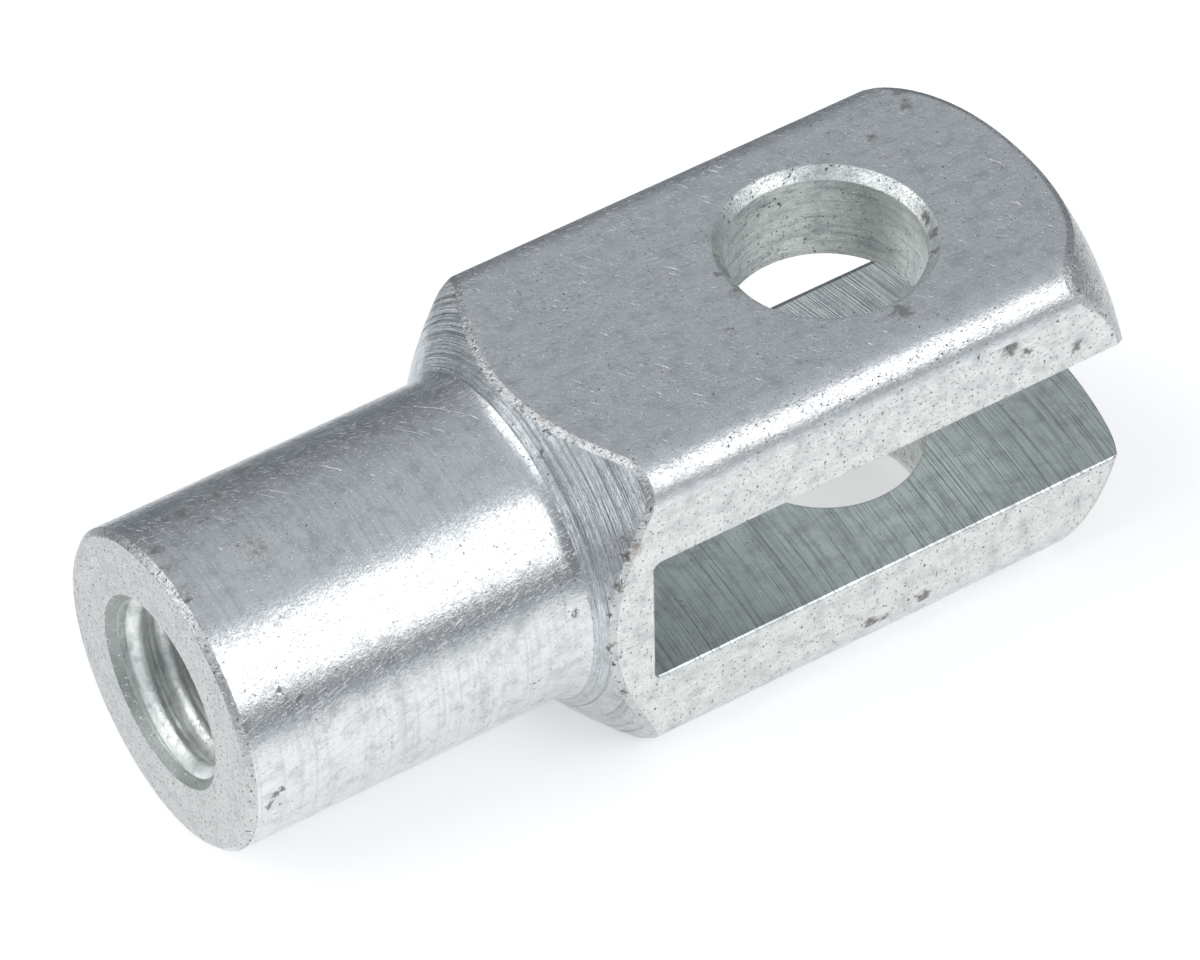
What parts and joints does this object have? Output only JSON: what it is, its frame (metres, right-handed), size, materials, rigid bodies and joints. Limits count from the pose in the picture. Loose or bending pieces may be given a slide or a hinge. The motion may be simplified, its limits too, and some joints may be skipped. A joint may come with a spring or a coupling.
{
  "type": "clevis rod end",
  "caption": "One-piece fork head: a square, domed fork with a slot and a chamfered cross bore for a pin, on a round shank with a threaded hole for a rod.",
  "frame": {"origin": "middle of the pin bore, on the rod axis", "axes": "+X along the rod axis out of the open fork, with the shank at -X; +Z along the pin bore, up; +Y across the fork"},
  "size_m": [0.055, 0.02, 0.02],
  "materials": {
    "zinc_plated_steel": "bright zinc plate over turned, drawn and milled steel, lightly scratched"
  },
  "bodies": {
    "root": {"fork_head": "zinc_plated_steel"}
  },
  "joints": []
}
